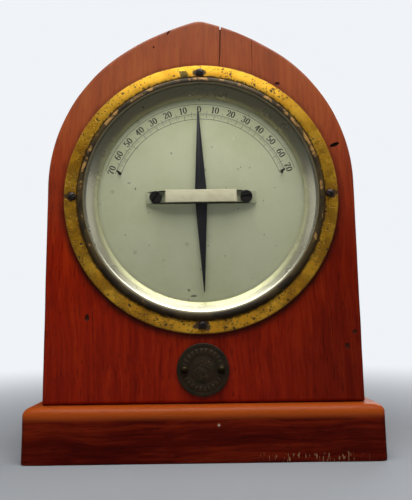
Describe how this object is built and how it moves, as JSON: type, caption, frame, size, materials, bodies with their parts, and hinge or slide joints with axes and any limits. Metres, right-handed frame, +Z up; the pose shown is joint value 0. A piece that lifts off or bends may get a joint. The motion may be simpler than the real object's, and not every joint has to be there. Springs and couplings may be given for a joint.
{
  "type": "vertical telegraph galvanometer",
  "caption": "Arched wooden case on a plinth with a brass-rimmed dial, a swinging pointer, a hinged back door and binding posts.",
  "frame": {"origin": "centre of the plinth's underside, on the surface the instrument stands on", "axes": "+Z up, the dial faces -Y, +X to the right of a person who reads the dial"},
  "size_m": [0.139, 0.09, 0.1818],
  "materials": {
    "front_wood": "french-polished mahogany, worn",
    "case_wood": "polished mahogany",
    "plinth_wood": "polished mahogany, worn edges",
    "inner_wood": "unpolished mahogany",
    "old_brass": "tarnished, pitted lacquered brass",
    "clean_brass": "satin lacquered brass",
    "silvered_dial": "aged matt silvering with a printed scale",
    "reflector": "glossy silvered slope",
    "ivory_bar": "cream lacquer",
    "black_steel": "blackened",
    "dark_screws": "blued and stained",
    "steel": "polished steel",
    "bronze": "dark patinated bronze",
    "glass": "clear flat glass",
    "silk_wire": "green silk-covered wire",
    "vulcanite": "turned vulcanite"
  },
  "bodies": {
    "case": {"back_rail": "case_wood", "bezel": "old_brass", "bezel_screw_bottom": "dark_screws", "bezel_screw_left": "dark_screws", "bezel_screw_right": "dark_screws", "bezel_screw_top": "dark_screws", "bridge_screw_left": "dark_screws", "bridge_screw_right": "dark_screws", "case_arch": "case_wood", "case_front": "front_wood", "cock_screw_lower": "steel", "cock_screw_upper": "steel", "coil_bobbin_left": "vulcanite", "coil_bobbin_right": "vulcanite", "coil_winding_left": "silk_wire", "coil_winding_right": "silk_wire", "dial": "silvered_dial", "dial_board": "inner_wood", "disc_pin_left": "bronze", "disc_pin_right": "bronze", "foot_screw_left": "steel", "foot_screw_right": "steel", "front_bearing": "clean_brass", "glass": "glass", "hinge_case_leaf_lower": "clean_brass", "hinge_case_leaf_upper": "clean_brass", "hinge_pin_lower": "clean_brass", "hinge_pin_upper": "clean_brass", "lead_left": "silk_wire", "lead_right": "silk_wire", "movement_plate": "clean_brass", "name_disc": "bronze", "pillar_lower": "clean_brass", "pillar_upper": "clean_brass", "plinth": "plinth_wood", "pointer_bridge": "ivory_bar", "rear_bearing": "steel", "rear_cock": "clean_brass", "reflector_ring": "reflector", "stop_pin_left": "dark_screws", "stop_pin_right": "dark_screws", "terminal_post_left": "clean_brass", "terminal_post_right": "clean_brass", "terminal_under_nut_left": "clean_brass", "terminal_under_nut_right": "clean_brass", "turn_button_screw": "clean_brass"},
    "needle": {"pointer": "black_steel", "pointer_boss": "clean_brass", "staff": "steel", "magnet": "steel"},
    "door": {"back_door": "case_wood", "door_knob": "clean_brass", "hinge_door_leaf_lower": "clean_brass", "hinge_door_leaf_upper": "clean_brass"},
    "button": {"turn_button": "clean_brass"},
    "washer_left": {"terminal_washer_left": "clean_brass"},
    "nut_left": {"terminal_nut_left": "clean_brass"},
    "washer_right": {"terminal_washer_right": "clean_brass"},
    "nut_right": {"terminal_nut_right": "clean_brass"}
  },
  "joints": [
    {"name": "needle_swing", "type": "hinge", "parent": "case", "child": "needle", "pos_m": [0, -0.014, 0.1041], "axis": [0, 1, 0], "range_deg": [-68.6, 71.4]},
    {"name": "door_hinge", "type": "hinge", "parent": "case", "child": "door", "pos_m": [0.0659, 0.02215, 0.08], "axis": [0, 0, -1], "range_deg": [0, 175]},
    {"name": "turn_button_pivot", "type": "hinge", "parent": "case", "child": "button", "pos_m": [-0.043, 0.0302, 0.0396], "axis": [0, 1, 0], "range_deg": [0, 90]},
    {"name": "washer_left_lift", "type": "slide", "parent": "case", "child": "washer_left", "axis": [0, 0, 1], "range_m": [0, 0.0024]},
    {"name": "nut_left_turn", "type": "hinge", "parent": "washer_left", "child": "nut_left", "pos_m": [-0.03, 0.037, 0.03], "axis": [0, 0, 1], "range_deg": [0, 1080]},
    {"name": "washer_right_lift", "type": "slide", "parent": "case", "child": "washer_right", "axis": [0, 0, 1], "range_m": [0, 0.0024]},
    {"name": "nut_right_turn", "type": "hinge", "parent": "washer_right", "child": "nut_right", "pos_m": [0.03, 0.037, 0.03], "axis": [0, 0, 1], "range_deg": [0, 1080]}
  ],
  "couplings": [
    {"joint": "washer_left_lift", "follows": "nut_left_turn", "m_per_rad": 0.00012732},
    {"joint": "washer_right_lift", "follows": "nut_right_turn", "m_per_rad": 0.00012732}
  ]
}
